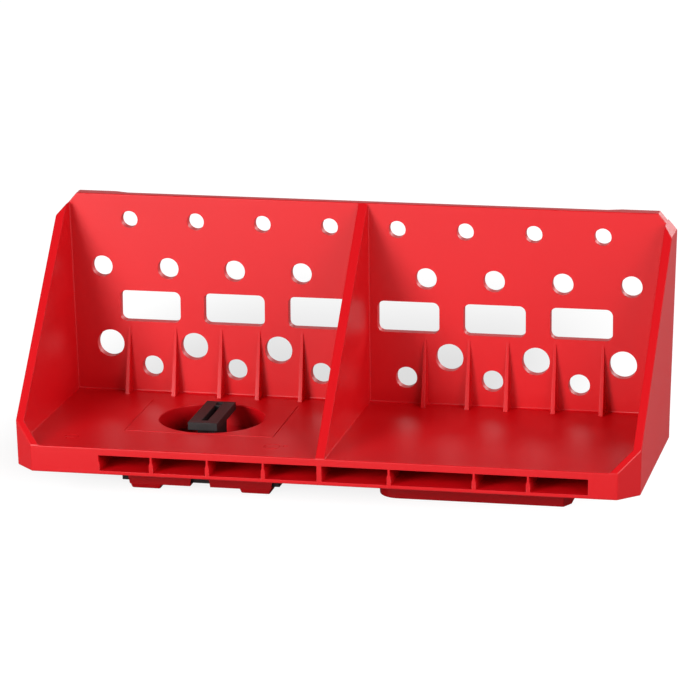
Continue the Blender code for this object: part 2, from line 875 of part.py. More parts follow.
def pad_outline(inset, height):
    """Plan of the right foot: rounded at its inner corners and chamfered at its outer ones."""
    centre = half_width * pad_place_share
    left = centre - pad_width / 2 + inset
    right = centre + pad_width / 2 - inset
    front = pad_front + inset
    rear = pad_front + pad_length - inset
    curve = pad_round - inset
    plan = [(right - pad_chamfer_across, front), (right, front + pad_chamfer_along),
            (right, rear - pad_chamfer_along), (right - pad_chamfer_across, rear)]
    for step in range(pad_round_steps + 1):
        turn = math.pi / 2 * step / pad_round_steps
        plan.append((left + curve - curve * math.sin(turn), rear - curve + curve * math.cos(turn)))
    for step in range(pad_round_steps + 1):
        turn = math.pi / 2 * step / pad_round_steps
        plan.append((left + curve - curve * math.cos(turn), front + curve - curve * math.sin(turn)))
    return [at(x, depth, height) for x, depth in plan]


def make_right_foot(material):
    top = -base_thickness - assembly_gap
    bm = bmesh.new()
    loft(bm, pad_outline(foot_draft, ground), pad_outline(0, top))
    foot = piece("foot_right", bm, material)
    inside = bmesh.new()
    loft(inside, pad_outline(pad_wall + foot_draft, ground + pad_floor), pad_outline(pad_wall, top + cut_overrun))
    combine(foot, "DIFFERENCE", "pad_cavity_tool", inside)
    cut_screw_holes(foot, "foot_right", pad_boss_places(), ground, ground + pad_floor)


def make_screws(material):
    left_places = four_places(boss_across, boss_along)
    for number, (x, depth) in enumerate(left_places, 1):
        make_screw("foot_left_screw_%d" % number, x, depth, ground + assembly_gap, material)
    for number, (x, depth) in enumerate(pad_boss_places(), 1):
        make_screw("foot_right_screw_%d" % number, x, depth, ground + assembly_gap, material)
    for name, (x, depth) in zip(("bar_screw_front", "bar_screw_rear"), bar_screw_places()):
        make_screw(name, x, depth, latch_bottom + assembly_gap, material)


clear_scene()
red_plastic = finish("red_plastic", 0.72, 0.012, 0.02, 0.38, 0)
black_plastic = finish("black_plastic", 0.02, 0.02, 0.022, 0.5, 0)
zinc_steel = finish("zinc_steel", 0.55, 0.56, 0.58, 0.35, 1)
make_base(red_plastic)
make_panel("tool_panel_left", -1, red_plastic)
make_panel("tool_panel_right", 1, red_plastic)
make_end_wall("end_wall_left", -1, red_plastic)
make_end_wall("end_wall_right", 1, red_plastic)
make_divider(red_plastic)
make_housing(red_plastic)
make_left_foot(red_plastic)
make_right_foot(red_plastic)
make_latch_plate(black_plastic)
make_finger_bar(black_plastic)
make_spring("latch_spring_left", -1, zinc_steel)
make_spring("latch_spring_right", 1, zinc_steel)
make_screws(zinc_steel)
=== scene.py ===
"""Looks of the screwdriver rack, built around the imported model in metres, +Z up."""
import math

import bmesh
import bpy
from mathutils import Matrix, Vector


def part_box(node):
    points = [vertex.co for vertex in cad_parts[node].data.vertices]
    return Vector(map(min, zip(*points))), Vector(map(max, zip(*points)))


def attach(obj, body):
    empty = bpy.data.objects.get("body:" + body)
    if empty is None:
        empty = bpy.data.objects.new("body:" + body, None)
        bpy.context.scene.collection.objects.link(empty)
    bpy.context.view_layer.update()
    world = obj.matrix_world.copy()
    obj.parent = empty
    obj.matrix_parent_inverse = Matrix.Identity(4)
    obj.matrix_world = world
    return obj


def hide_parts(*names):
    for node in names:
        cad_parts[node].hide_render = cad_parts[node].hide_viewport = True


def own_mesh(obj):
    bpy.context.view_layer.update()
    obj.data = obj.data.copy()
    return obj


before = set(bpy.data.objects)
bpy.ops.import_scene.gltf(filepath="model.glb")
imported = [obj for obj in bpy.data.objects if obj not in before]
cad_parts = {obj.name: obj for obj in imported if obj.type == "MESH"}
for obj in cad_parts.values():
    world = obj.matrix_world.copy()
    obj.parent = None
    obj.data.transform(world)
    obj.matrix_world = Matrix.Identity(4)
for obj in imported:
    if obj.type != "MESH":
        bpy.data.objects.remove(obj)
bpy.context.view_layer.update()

# The camera stands three metres off, a little to the right of the rack and above it, as a long
# product lens does, so the long edges stay nearly parallel.
photo_size = 700
sensor_width = 36
focal_pixels = 4154.4
camera_azimuth = math.radians(12.338)
camera_elevation = math.radians(15.176)
camera_roll = math.radians(-0.768)
camera_place = Vector((0.68747, -3.12087, 0.97843))


def add_camera():
    data = bpy.data.cameras.new("photo_camera")
    data.sensor_width = sensor_width
    data.lens = focal_pixels * sensor_width / photo_size
    camera = bpy.data.objects.new("photo_camera", data)
    turn = (Matrix.Rotation(camera_azimuth, 4, "Z")
            @ Matrix.Rotation(math.pi / 2 - camera_elevation, 4, "X")
            @ Matrix.Rotation(camera_roll, 4, "Z"))
    camera.matrix_world = Matrix.Translation(camera_place) @ turn
    bpy.context.scene.collection.objects.link(camera)
    bpy.context.scene.camera = camera


add_camera()

# The rack is one injection moulding in red polypropylene: floor plate, perforated panel, two end
# walls and a divider run into each other with small fillets, and ribs stiffen the panel's foot.
plate_low, plate_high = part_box("rack_base")
panel_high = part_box("tool_panel_left")[1]
wall_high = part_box("end_wall_right")[1]
front = plate_low.y
floor_level = plate_high.z
plate_thickness = 0.0216
plate_depth = plate_high.y - front
rack_depth = wall_high.y - front
panel_height = panel_high.z - floor_level
half_width = 0.250
outer_lean = 0.0228
corner_chamfer = 0.016
top_chamfer_width = 0.0137
top_chamfer_height = 0.0163
wall_thickness = 0.0068
inner_lean = 0.033
inner_taper = 0.0127
divider_thickness = 0.0077
divider_rear_draft = 0.0078
divider_top_draft = 0.0073
panel_foot = 0.1668
panel_lean = 0.0362
panel_thickness = 0.0082
reach = 0.02
edge_radius = 0.0009
foot_radius = 0.0016
rim_radius = 0.0003
fine_sides = 56
bend_share = 1.25
sharp_turn = math.radians(25)
crease_turn = math.radians(40)
flat_turn = math.radians(0.4)
speck = 0.000002
touch = 0.0001


def at(x, depth, height):
    return Vector((x, front + depth, floor_level + height))


def grow(bm, lower, upper):
    """Closed solid between two outlines with matching points."""
    face = bm.faces.new([bm.verts.new(point) for point in lower])
    made = bmesh.ops.extrude_face_region(bm, geom=[face])["geom"]
    for vert in made:
        if isinstance(vert, bmesh.types.BMVert):
            nearest = min(range(len(lower)), key=lambda i: (vert.co - lower[i]).length)
            vert.co = upper[nearest]


def cut_plane(bm, point, normal):
    """Cuts with a plane, drops the side that the normal points to and closes the cut."""
    everything = bm.verts[:] + bm.edges[:] + bm.faces[:]
    cut = bmesh.ops.bisect_plane(bm, geom=everything, plane_co=point, plane_no=normal, clear_outer=True)
    rim = [edge for edge in cut["geom_cut"] if isinstance(edge, bmesh.types.BMEdge)]
    bmesh.ops.contextual_create(bm, geom=rim)


def as_object(name, bm):
    bmesh.ops.recalc_face_normals(bm, faces=bm.faces)
    mesh = bpy.data.meshes.new(name)
    bm.to_mesh(mesh)
    bm.free()
    made = bpy.data.objects.new(name, mesh)
    bpy.context.scene.collection.objects.link(made)
    return made


def combined(name, bm, steps, flatten=True):
    """Runs Boolean steps, each an operation and a tool shape, and returns the result as a bmesh.

    With flatten, neighbouring faces that lie in one plane become one.
    """
    body = as_object(name, bm)
    tools = []
    for operation, shape in steps:
        tool = as_object(name + "_tool", shape)
        step = body.modifiers.new("step", "BOOLEAN")
        step.operation = operation
        step.object = tool
        tools.append(tool)
    bpy.context.view_layer.update()
    result = bmesh.new()
    result.from_object(body, bpy.context.evaluated_depsgraph_get())
    for used in tools + [body]:
        bpy.data.objects.remove(used)
    if flatten:
        bmesh.ops.dissolve_limit(result, angle_limit=flat_turn, verts=result.verts, edges=result.edges)
    bmesh.ops.dissolve_degenerate(result, dist=speck, edges=result.edges)
    return result


def round_edges(bm, wanted, radius, segments=3):
    """Rounds every edge that turns sharply and that wanted accepts by its middle point."""
    edges = []
    for edge in bm.edges:
        if edge.is_manifold and edge.calc_face_angle(0) > sharp_turn:
            middle = (edge.verts[0].co + edge.verts[1].co) / 2
            if wanted(middle - Vector((0, front, floor_level)), edge):
                edges.append(edge)
    bmesh.ops.bevel(bm, geom=edges, offset=radius, offset_type="OFFSET", affect="EDGES",
                    segments=segments, profile=0.5, material=-1, clamp_overlap=False)


def finished(name, bm):
    """Smooth-shaded object whose large faces stay flat."""
    made = as_object(name, bm)
    made.data.shade_smooth()
    made.data.set_sharp_from_angle(angle=crease_turn)
    step = made.modifiers.new("weighted_normal", "WEIGHTED_NORMAL")
    step.keep_sharp = True
    return made


def side_plane(side):
    return at(side * half_width, 0, -plate_thickness), Vector((side, 0, -outer_lean)).normalized()


def corner_plane(side):
    point = at(side * half_width, corner_chamfer, -plate_thickness)
    return point, Vector((side, -1, -outer_lean)).normalized()


def top_corner_plane(side):
    outer = half_width + outer_lean * (panel_height + plate_thickness)
    point = at(side * outer, 0, panel_height - top_chamfer_height)
    return point, Vector((side * top_chamfer_height, 0, top_chamfer_width)).normalized()


def envelope():
    """The whole moulding's outer shape. Its rear bends upright just below the top chamfers."""
    lean_top = panel_height - bend_share * top_chamfer_height
    profile = [(0, -plate_thickness), (plate_depth, -plate_thickness), (plate_depth, 0),
               (rack_depth, lean_top), (rack_depth, panel_height),
               (panel_foot + panel_lean * panel_height, panel_height), (0, 0)]
    bm = bmesh.new()
    far = half_width + reach
    grow(bm, [at(-far, depth, height) for depth, height in profile],
         [at(far, depth, height) for depth, height in profile])
    for side in (-1, 1):
        cut_plane(bm, *side_plane(side))
        cut_plane(bm, *corner_plane(side))
        cut_plane(bm, *top_corner_plane(side))
    return bm


def cutting_block(x_range, depth_range, height_range):
    bm = bmesh.new()
    plan = [(x_range[0], depth_range[0]), (x_range[1], depth_range[0]),
            (x_range[1], depth_range[1]), (x_range[0], depth_range[1])]
    lower, upper = [[at(x, depth, height) for x, depth in plan] for height in height_range]
    grow(bm, lower, upper)
    return bm


def inner_wall_plane(side):
    start = half_width + outer_lean * plate_thickness - wall_thickness
    return at(side * start, 0, 0), Vector((side, inner_taper, -inner_lean)).normalized()


def bay(side):
    """The space of one bay: between divider and end wall, in front of the panel."""
    bm = cutting_block(sorted((0, side * (half_width + reach))), (-reach, rack_depth + reach),
                       (0, panel_height + reach))
    cut_plane(bm, at(side * divider_thickness / 2, 0, 0),
              Vector((-side, divider_rear_draft, -divider_top_draft)).normalized())
    cut_plane(bm, *inner_wall_plane(side))
    elbow = half_width + outer_lean * plate_thickness - wall_thickness - inner_taper * corner_chamfer
    cut_plane(bm, at(side * elbow, corner_chamfer, 0), Vector((side, -1, -inner_lean)).normalized())
    cut_plane(bm, at(0, panel_foot, 0), Vector((0, 1, -panel_lean)).normalized())
    return bm


def rear_space():
    """The space behind the panel, between the rear rims of the end walls."""
    far = half_width + reach
    bm = cutting_block((-far, far), (panel_foot - reach, rack_depth + reach), (0, panel_height + reach))
    for side in (-1, 1):
        cut_plane(bm, *inner_wall_plane(side))
    cut_plane(bm, at(0, panel_foot + panel_thickness, 0), Vector((0, -1, panel_lean)).normalized())
    return bm


pad_depth = 0.0035
pad_height = 0.014
pad_start = 0.195
pad_full = 0.2125
weld = 0.001


def corner_pads():
    """Thicker pads behind the panel's top corners."""
    bm = bmesh.new()
    for side in (-1, 1):
        outlines = []
        for height in (panel_height - pad_height, panel_height):
            rear = panel_foot + panel_lean * height + panel_thickness
            end = half_width + weld
            plan = ((pad_start, rear - 2 * weld), (end, rear - 2 * weld), (end, rear + pad_depth),
                    (pad_full, rear + pad_depth))
            outlines.append([at(side * x, depth, height) for x, depth in plan])
        grow(bm, outlines[0], outlines[1])
    for side in (-1, 1):
        cut_plane(bm, *top_corner_plane(side))
    bmesh.ops.recalc_face_normals(bm, faces=bm.faces)

    def rear_rim(place, edge):
        return place.y > panel_foot + panel_lean * place.z + panel_thickness + pad_depth - weld

    round_edges(bm, rear_rim, edge_radius)
    return bm


rib_places = (0.0512, 0.0874, 0.1193, 0.158, 0.1972)
rib_height = 0.0554
rib_reach = 0.0115
rib_foot = 0.0037
rib_tip = 0.0020
rib_round = rib_tip / 5


def ribs():
    """Ten small ribs that taper up the panel from its foot, with softly rounded fronts."""
    bm = bmesh.new()
    for place in rib_places:
        for side in (-1, 1):
            foot_front = panel_foot - rib_reach
            foot = [at(side * place + sx * rib_foot / 2, depth, -weld)
                    for sx, depth in ((-1, foot_front), (1, foot_front), (1, panel_foot + weld),
                                      (-1, panel_foot + weld))]
            top_front = panel_foot + panel_lean * rib_height
            tip = [at(side * place + sx * rib_tip / 2, depth, rib_height)
                   for sx, depth in ((-1, top_front), (1, top_front), (1, top_front + weld),
                                     (-1, top_front + weld))]
            grow(bm, foot, tip)
    bmesh.ops.recalc_face_normals(bm, faces=bm.faces)

    def before_panel(vert):
        return vert.co.y < front + panel_foot + panel_lean * (vert.co.z - floor_level) + weld / 2

    fronts = [edge for edge in bm.edges
              if all(before_panel(vert) for vert in edge.verts)
              and abs(edge.verts[0].co.z - edge.verts[1].co.z) > rib_height / 2]
    bmesh.ops.bevel(bm, geom=fronts, offset=rib_round, offset_type="OFFSET", affect="EDGES",
                    segments=3, profile=0.5, material=-1)
    return bm


small_hole = 0.00696
middle_hole = 0.00875
big_hole = 0.01133
hole_rows = ((0.1442, small_hole, (0.028, 0.084, 0.140, 0.196)),
             (0.1043, middle_hole, (0.0518, 0.10775, 0.1637, 0.21965)),
             (0.0397, big_hole, (0.0712, 0.1422, 0.2133)),
             (0.0217, middle_hole, (0.0355, 0.1066, 0.1777)))
slot_places = (0.0372, 0.1082, 0.1792)
slot_level = 0.0719
slot_width = 0.051
slot_height = 0.0257
slot_corner = 0.0055


def round_holes():
    bm = bmesh.new()
    for height, radius, places in hole_rows:
        for place in places:
            for side in (-1, 1):
                middle = at(side * place, panel_foot + panel_lean * height, height)
                turn = Matrix.Translation(middle) @ Matrix.Rotation(math.pi / 2, 4, "X")
                bmesh.ops.create_cone(bm, cap_ends=True, segments=fine_sides, radius1=radius,
                                      radius2=radius, depth=2 * reach, matrix=turn)
    return bm


def slots():
    bm = bmesh.new()
    steps = fine_sides // 4
    for place in slot_places:
        for side in (-1, 1):
            outline = []
            for quarter, (sx, sz) in enumerate(((1, 1), (-1, 1), (-1, -1), (1, -1))):
                for step in range(steps + 1):
                    turn = (quarter + step / steps) * math.pi / 2
                    x = sx * (slot_width / 2 - slot_corner) + slot_corner * math.cos(turn)
                    z = sz * (slot_height / 2 - slot_corner) + slot_corner * math.sin(turn)
                    outline.append((side * place + x, slot_level + z))
            grow(bm, [at(x, panel_foot - reach / 2, z) for x, z in outline],
                 [at(x, panel_foot + reach, z) for x, z in outline])
    return bm


lip_height = 0.006
bottom_skin = 0.0031
channel_depth = 0.1568
short_channel_depth = 0.0492
short_channels = 3
web_top = 0.0018
web_foot = 0.0033
middle_web = 0.004
middle_web_number = 3
web_places = (-0.1365, -0.0910, -0.0459, -0.0008, 0.0547, 0.12195, 0.16455)
channel_ends = (-0.1791, 0.2114)
step_top = -0.0105
step_foot = -0.0118


def channels():
    """Eight open channels in the front edge. Most webs between them widen below a step."""
    bm = bmesh.new()
    step = (web_foot - web_top) / 2
    webs = [(channel_ends[0], 0, step)]
    for number, x in enumerate(web_places):
        plain = number == middle_web_number
        webs.append((x, middle_web / 2, 0) if plain else (x, web_top / 2, step))
    webs.append((channel_ends[1], 0, 0))
    foot = bottom_skin - plate_thickness
    for number, (left, right) in enumerate(zip(webs, webs[1:])):
        x0, x1 = left[0] + left[1], right[0] - right[1]
        section = [(x0, -lip_height), (x1, -lip_height), (x1, step_top), (x1 - right[2], step_foot),
                   (x1 - right[2], foot), (x0 + left[2], foot), (x0 + left[2], step_foot), (x0, step_top)]
        end = short_channel_depth if number < short_channels else channel_depth
        grow(bm, [at(x, -reach, z) for x, z in section], [at(x, end, z) for x, z in section])
    return bm


housing_low, housing_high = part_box("latch_housing")
housing_x = -0.1107
housing_y = (housing_low.y + housing_high.y) / 2
seam = 0.0003
flange_thickness = 0.003
window_half = Vector((0.061, 0.0456))
skirt_half = Vector((0.0592, 0.0447))


def upright_block(bm, centre, half, levels):
    """Square block round a point in the XY plane, between two heights above the ground."""
    corners = [(-half[0], -half[1]), (half[0], -half[1]), (half[0], half[1]), (-half[0], half[1])]
    lower, upper = [[Vector((centre[0] + x, centre[1] + y, level)) for x, y in corners] for level in levels]
    grow(bm, lower, upper)


def housing_rebate():
    bm = bmesh.new()
    upright_block(bm, (housing_x, housing_y), window_half,
                  (floor_level - flange_thickness - seam, floor_level + reach))
    return bm


def skirt_window():
    bm = bmesh.new()
    upright_block(bm, (housing_x, housing_y), skirt_half + Vector((seam, seam)), (0, floor_level))
    return bm


pocket_roof = 0.0045
pocket_rib = 0.0025
pocket_columns = ((-0.2432, -0.21405), (-0.21155, -0.1824), (0.2147, 0.2432))
pocket_rows = 4
strip_pockets = 3


def pockets():
    """Cored pockets in the plate's underside, at both ends and behind the latch housing."""
    bm = bmesh.new()
    first = corner_chamfer + pocket_rib
    last = panel_foot + panel_thickness
    row = (last - first) / pocket_rows
    for x0, x1 in pocket_columns:
        for number in range(pocket_rows):
            start = first + number * row
            box = ((x0 + x1) / 2, front + start + (row - pocket_rib) / 2)
            upright_block(bm, box, ((x1 - x0) / 2, (row - pocket_rib) / 2), (0, floor_level - pocket_roof))
    strip_start = housing_y - front + window_half.y + pocket_rib
    pitch = 2 * skirt_half.x / strip_pockets
    for number in range(strip_pockets):
        middle = housing_x - skirt_half.x + number * pitch + (pitch - pocket_rib) / 2
        upright_block(bm, (middle, front + (strip_start + last) / 2),
                      ((pitch - pocket_rib) / 2, (last - strip_start) / 2), (0, floor_level - pocket_roof))
    return bm


boss_radius = 0.0036
pad_bosses = [(x, y) for x in (0.048, 0.171) for y in (-0.0155, 0.0230)]


def upright_bars(bm, places, radius, levels, sides=fine_sides):
    """Upright round bars at the given places, between two heights above the ground."""
    low, high = levels
    for x, y in places:
        bmesh.ops.create_cone(bm, cap_ends=True, segments=sides, radius1=radius, radius2=radius,
                              depth=high - low, matrix=Matrix.Translation((x, y, (low + high) / 2)))
    return bm


def pad_boss_bars():
    return upright_bars(bmesh.new(), pad_bosses, boss_radius,
                        (plate_low.z, floor_level - plate_thickness + weld), fine_sides // 2)


mark_depth = 0.0004
mark_width = 0.0008
mark_places = ((-0.2087, 0.0289, 0.0060), (-0.0446, 0.0276, 0.00675), (-0.0342, 0.0299, 0.0022))


def floor_marks():
    """Fine sunk rings that the mould's round inserts leave on the left floor."""
    bm = bmesh.new()
    for x, depth, radius in mark_places:
        centre = at(x, depth, 0)
        section = ((radius - mark_width, -mark_depth), (radius, -mark_depth), (radius, weld),
                   (radius - mark_width, weld))
        ring = [bm.verts.new(centre + Vector((out, 0, height))) for out, height in section]
        edges = [bm.edges.new(pair) for pair in zip(ring, ring[1:] + ring[:1])]
        bmesh.ops.spin(bm, geom=ring + edges, cent=centre, axis=(0, 0, 1), angle=2 * math.pi,
                       steps=fine_sides, use_merge=True)
    return bm


main_edge_length = 0.004
rim_facet_length = 0.0025
slot_end_length = 0.01
rim_margin = 0.002
lowest_rim = 0.008
widest_rim = 0.235


def main_edges(place, edge):
    """The long outer and inner edges, but not the thin tips at the front lip."""
    return edge.calc_length() > main_edge_length


def panel_foot_edges(place, edge):
    """The inner corners where the panel meets the floor of each bay."""
    at_foot = abs(place.y - panel_foot) < touch and abs(place.z) < touch
    return at_foot and edge.calc_length() > half_width / 3


def drilled_rims(place, edge):
    """Rims of the holes, slots, channels and window, which lie on one of the flat faces."""
    length = edge.calc_length()
    panel_here = panel_foot + panel_lean * place.z
    off_panel = min(abs(place.y - panel_here), abs(place.y - panel_here - panel_thickness))
    on_front = abs(place.y) < touch and -plate_thickness + rim_margin < place.z < -rim_margin
    round_rim = place.z > lowest_rim and length < rim_facet_length and abs(place.x) < widest_rim
    long_side = abs(abs(place.z - slot_level) - slot_height / 2) < touch
    short_side = abs(place.z - slot_level) < weld and length > slot_end_length
    on_slot = (long_side or short_side) and off_panel < 4 * touch
    off_middle = (abs(place.x - housing_x), abs(place.y + front - housing_y))
    in_window = off_middle[0] < window_half.x + weld and off_middle[1] < window_half.y + weld
    on_floor = abs(place.z) < touch and in_window
    return on_front or (round_rim and off_panel < touch) or on_slot or on_floor


class Wire:
    """A node socket that takes part in sums, so shader maths reads as an expression."""

    def __init__(self, tree, socket):
        self.tree = tree
        self.socket = socket

    def feed(self, entry, value):
        """Gives a node's input a constant or another wire."""
        if isinstance(value, Wire):
            self.tree.links.new(value.socket, entry)
        else:
            entry.default_value = value

    def node(self, kind, **inputs):
        """New node whose inputs are given by name, with underscores for spaces."""
        made = self.tree.nodes.new(kind)
        for name, value in inputs.items():
            self.feed(made.inputs[name.replace("_", " ")], value)
        return Wire(self.tree, made.outputs[0])

    def maths(self, operation, first, second):
        made = self.tree.nodes.new("ShaderNodeMath")
        made.operation = operation
        self.feed(made.inputs[0], first)
        self.feed(made.inputs[1], second)
        return Wire(self.tree, made.outputs[0])

    def __add__(self, other):
        return self.maths("ADD", self, other)

    __radd__ = __add__

    def __sub__(self, other):
        return self.maths("SUBTRACT", self, other)

    def __rsub__(self, other):
        return self.maths("SUBTRACT", other, self)

    def __mul__(self, other):
        return self.maths("MULTIPLY", self, other)

    __rmul__ = __mul__

    def mixed(self, first, second):
        """Colour from first to second as this value goes from 0 to 1."""
        made = self.tree.nodes.new("ShaderNodeMix")
        made.data_type = "RGBA"
        self.feed(made.inputs["Factor"], self)
        self.feed(made.inputs[6], first)
        self.feed(made.inputs[7], second)
        return Wire(self.tree, made.outputs[2])

    def eased(self, start, end, first, last):
        """Goes smoothly from first to last as this value goes from start to end."""
        ease = self.node("ShaderNodeMapRange", Value=self, From_Min=start, From_Max=end,
                         To_Min=first, To_Max=last)
        ease.socket.node.interpolation_type = "SMOOTHSTEP"
        return ease


def start_material(name):
    """A Principled material, and the object coordinates that its patterns read."""
    material = bpy.data.materials.new(name)
    material.use_nodes = True
    tree = material.node_tree
    shader = tree.nodes["Principled BSDF"]
    coordinates = tree.nodes.new("ShaderNodeTexCoord")
    return material, tree, shader, Wire(tree, coordinates.outputs["Object"])


red = (0.67, 0.0012, 0.0060, 1)
deep_red = (0.62, 0.0006, 0.0042, 1)


def satin_red():
    """Satin moulded polypropylene: saturated red, a soft sheen and a fine spark-eroded grain."""
    material, tree, shader, place = start_material("satin_red")
    cloud = place.node("ShaderNodeTexNoise", Vector=place, Scale=9.0, Detail=2.0)
    grain = place.node("ShaderNodeTexNoise", Vector=place, Scale=2600.0, Detail=2.0)
    tree.links.new(cloud.mixed(deep_red, red).socket, shader.inputs["Base Color"])
    rough = 0.34 + 0.08 * cloud + 0.04 * grain
    tree.links.new(rough.socket, shader.inputs["Roughness"])
    bump = place.node("ShaderNodeBump", Height=grain, Strength=0.06, Distance=0.0001)
    tree.links.new(bump.socket, shader.inputs["Normal"])
    return material


red_finish = satin_red()


def rack_moulding():
    cuts = [("DIFFERENCE", bay(-1)), ("DIFFERENCE", bay(1)), ("DIFFERENCE", rear_space())]
    body = combined("moulding", envelope(), cuts)
    round_edges(body, panel_foot_edges, foot_radius, segments=4)
    round_edges(body, main_edges, edge_radius)
    details = [("UNION", ribs()), ("DIFFERENCE", round_holes()), ("DIFFERENCE", slots()),
               ("DIFFERENCE", channels()), ("DIFFERENCE", housing_rebate()),
               ("DIFFERENCE", skirt_window()), ("DIFFERENCE", pockets()), ("UNION", pad_boss_bars()),
               ("DIFFERENCE", floor_marks())]
    body = combined("moulding", body, details)
    # The pads' chamfers lie in the walls' own planes, which leaves hair-thin faces in the union.
    # So it comes last, where no other step meets them, and leaves the flat faces apart.
    body = combined("moulding", body, [("UNION", corner_pads())], flatten=False)
    round_edges(body, drilled_rims, rim_radius, segments=2)
    made = finished("rack_moulding", body)
    made.data.materials.append(red_finish)
    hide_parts("rack_base", "tool_panel_left", "tool_panel_right", "end_wall_left",
                "end_wall_right", "centre_divider")
    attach(made, "rack")


rack_moulding()

# The latch housing is a separate red moulding that drops into the window from above and snaps
# under the floor plate. Its round well gives the fingers room at both sides of the pull bar.
skirt_foot = 0.0114
skirt_wall = 0.002
well_radius = 0.0426
sleeve_wall = 0.0018
sleeve_height = 0.015
boss_places = [(housing_x + x, housing_y + y) for x in (-0.050, 0.050) for y in (-0.0345, 0.0345)]
boss_foot = 0.0063
pilot_radius = 0.0017
pilot_depth = 0.014
post_radius = 0.0024
post_length = 0.016
post_reach = 0.051
hook_reach = 0.0014
hook_height = 0.003
hook_half_length = 0.006
hook_places = (-0.024, 0.024)
proud = 0.0002
flange_round = 0.00045
ear_window_top = 0.0201
ear_near = 0.0173
ear_far = 0.0427
shortest_seen = 0.0015


def housing_block(half, levels):
    bm = bmesh.new()
    upright_block(bm, (housing_x, housing_y), half, levels)
    return bm


def housing_inside():
    """Sleeve round the well, screw bosses and spring posts, all hanging from the flange."""
    ceiling = floor_level - flange_thickness + weld
    bm = upright_bars(bmesh.new(), [(housing_x, housing_y)], well_radius + sleeve_wall,
                      (floor_level - flange_thickness - sleeve_height, ceiling), 2 * fine_sides)
    upright_bars(bm, boss_places, boss_radius, (boss_foot, ceiling), fine_sides // 2)
    posts = [(housing_x + side * post_reach, housing_y) for side in (-1, 1)]
    return upright_bars(bm, posts, post_radius, (floor_level - flange_thickness - post_length, ceiling),
                        fine_sides // 2)


def snap_hooks():
    bm = bmesh.new()
    top = floor_level - plate_thickness - seam
    for side in (-1, 1):
        root = housing_x + side * (skirt_half.x - weld)
        tip = housing_x + side * (skirt_half.x + hook_reach)
        for place in hook_places:
            ends = [housing_y + place + end * hook_half_length for end in (-1, 1)]
            corners = ((root, top), (tip, top), (root, top - hook_height))
            lower, upper = [[Vector((x, y, z)) for x, z in corners] for y in ends]
            grow(bm, lower, upper)
    return bm


def ear_openings(levels):
    """Openings in both side walls that the four ears of the latch reach through."""
    bm = bmesh.new()
    for side in (-1, 1):
        for end in (-1, 1):
            middle = (housing_x + side * (skirt_half.x + skirt_wall / 2),
                      housing_y + end * (ear_near + ear_far) / 2)
            upright_block(bm, middle, (2 * skirt_wall, (ear_far - ear_near) / 2), levels)
    return bm


def seen_edges(place, edge):
    return edge.calc_length() > shortest_seen


def latch_housing():
    body = bmesh.new()
    upright_block(body, (housing_x, housing_y), window_half - Vector((seam, seam)),
                  (floor_level - flange_thickness, floor_level + proud))
    inner = skirt_half - Vector((skirt_wall, skirt_wall))
    well = upright_bars(bmesh.new(), [(housing_x, housing_y)], well_radius,
                        (floor_level - reach, floor_level + reach), 2 * fine_sides)
    pilots = upright_bars(bmesh.new(), boss_places, pilot_radius, (0, boss_foot + pilot_depth),
                          fine_sides // 2)
    steps = [("UNION", housing_block(skirt_half, (skirt_foot, floor_level - weld))),
             ("DIFFERENCE", housing_block(inner, (0, floor_level - flange_thickness))),
             ("UNION", housing_inside()), ("UNION", snap_hooks()), ("DIFFERENCE", well),
             ("DIFFERENCE", ear_openings((0, ear_window_top))), ("DIFFERENCE", pilots)]
    body = combined("latch_housing", body, steps)

    def flange_edge(place, edge):
        inside = (window_half.x - abs(place.x - housing_x),
                  window_half.y - abs(place.y + front - housing_y))
        return place.z > -weld and min(inside) < 2 * weld

    def well_rim(place, edge):
        from_centre = math.hypot(place.x - housing_x, place.y + front - housing_y)
        return place.z > -weld and from_centre < well_radius + weld

    round_edges(body, flange_edge, flange_round, segments=3)
    round_edges(body, well_rim, edge_radius)
    made = finished("latch_housing_shell", body)
    made.data.materials.append(red_finish)
    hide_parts("latch_housing")
    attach(made, "rack")


latch_housing()

# The left foot is a shallow red tray screwed under the housing from below. Four drafted nubs at its
# corners stand on the bench or drop into the wall plate, and its sides are open for the ears.
tray_bottom = 0.004
tray_floor_top = 0.006
tray_top = 0.0111
tray_draft = 0.001
nub_draft = 0.0015
nub_size = Vector((0.0233, 0.0165))
notch_half = 0.0086
notch_taper = 0.0012
notch_inner = 0.0317
screw_seat_radius = 0.0032
screw_seat_depth = 0.0026
foot_edge = 0.0012


def nubs():
    bm = bmesh.new()
    for sx in (-1, 1):
        for sy in (-1, 1):
            outlines = []
            for height, spread in ((0, 0), (tray_bottom + weld, nub_draft)):
                far = skirt_half - Vector((1, 1)) * (tray_draft + nub_draft - spread)
                near = far - nub_size - Vector((2, 2)) * spread
                plan = ((near.x, near.y), (far.x, near.y), (far.x, far.y), (near.x, far.y))
                outlines.append([Vector((housing_x + sx * x, housing_y + sy * y, height)) for x, y in plan])
            grow(bm, outlines[0], outlines[1])
    return bm


def tray_notches():
    bm = bmesh.new()
    for end in (-1, 1):
        outlines = []
        for height, inset in ((0, 0), (tray_top + weld, notch_taper)):
            half = notch_half - inset
            plan = ((-half, notch_inner), (half, notch_inner), (half, notch_inner + reach),
                    (-half, notch_inner + reach))
            outlines.append([Vector((housing_x + x, housing_y + end * y, height)) for x, y in plan])
        grow(bm, outlines[0], outlines[1])
    return bm


def screw_holes(places, foot, top):
    """Clearance holes through a bottom, and the wider seats that the screw heads sit in."""
    seats = upright_bars(bmesh.new(), places, screw_seat_radius, (foot - weld, foot + screw_seat_depth),
                         fine_sides // 2)
    holes = upright_bars(bmesh.new(), places, pilot_radius, (foot - weld, top + weld), fine_sides // 2)
    return [("DIFFERENCE", seats), ("DIFFERENCE", holes)]


def tray_corners(place, edge):
    """The tray's upright edges."""
    first, last = edge.verts
    return abs(first.co.z - last.co.z) > tray_bottom


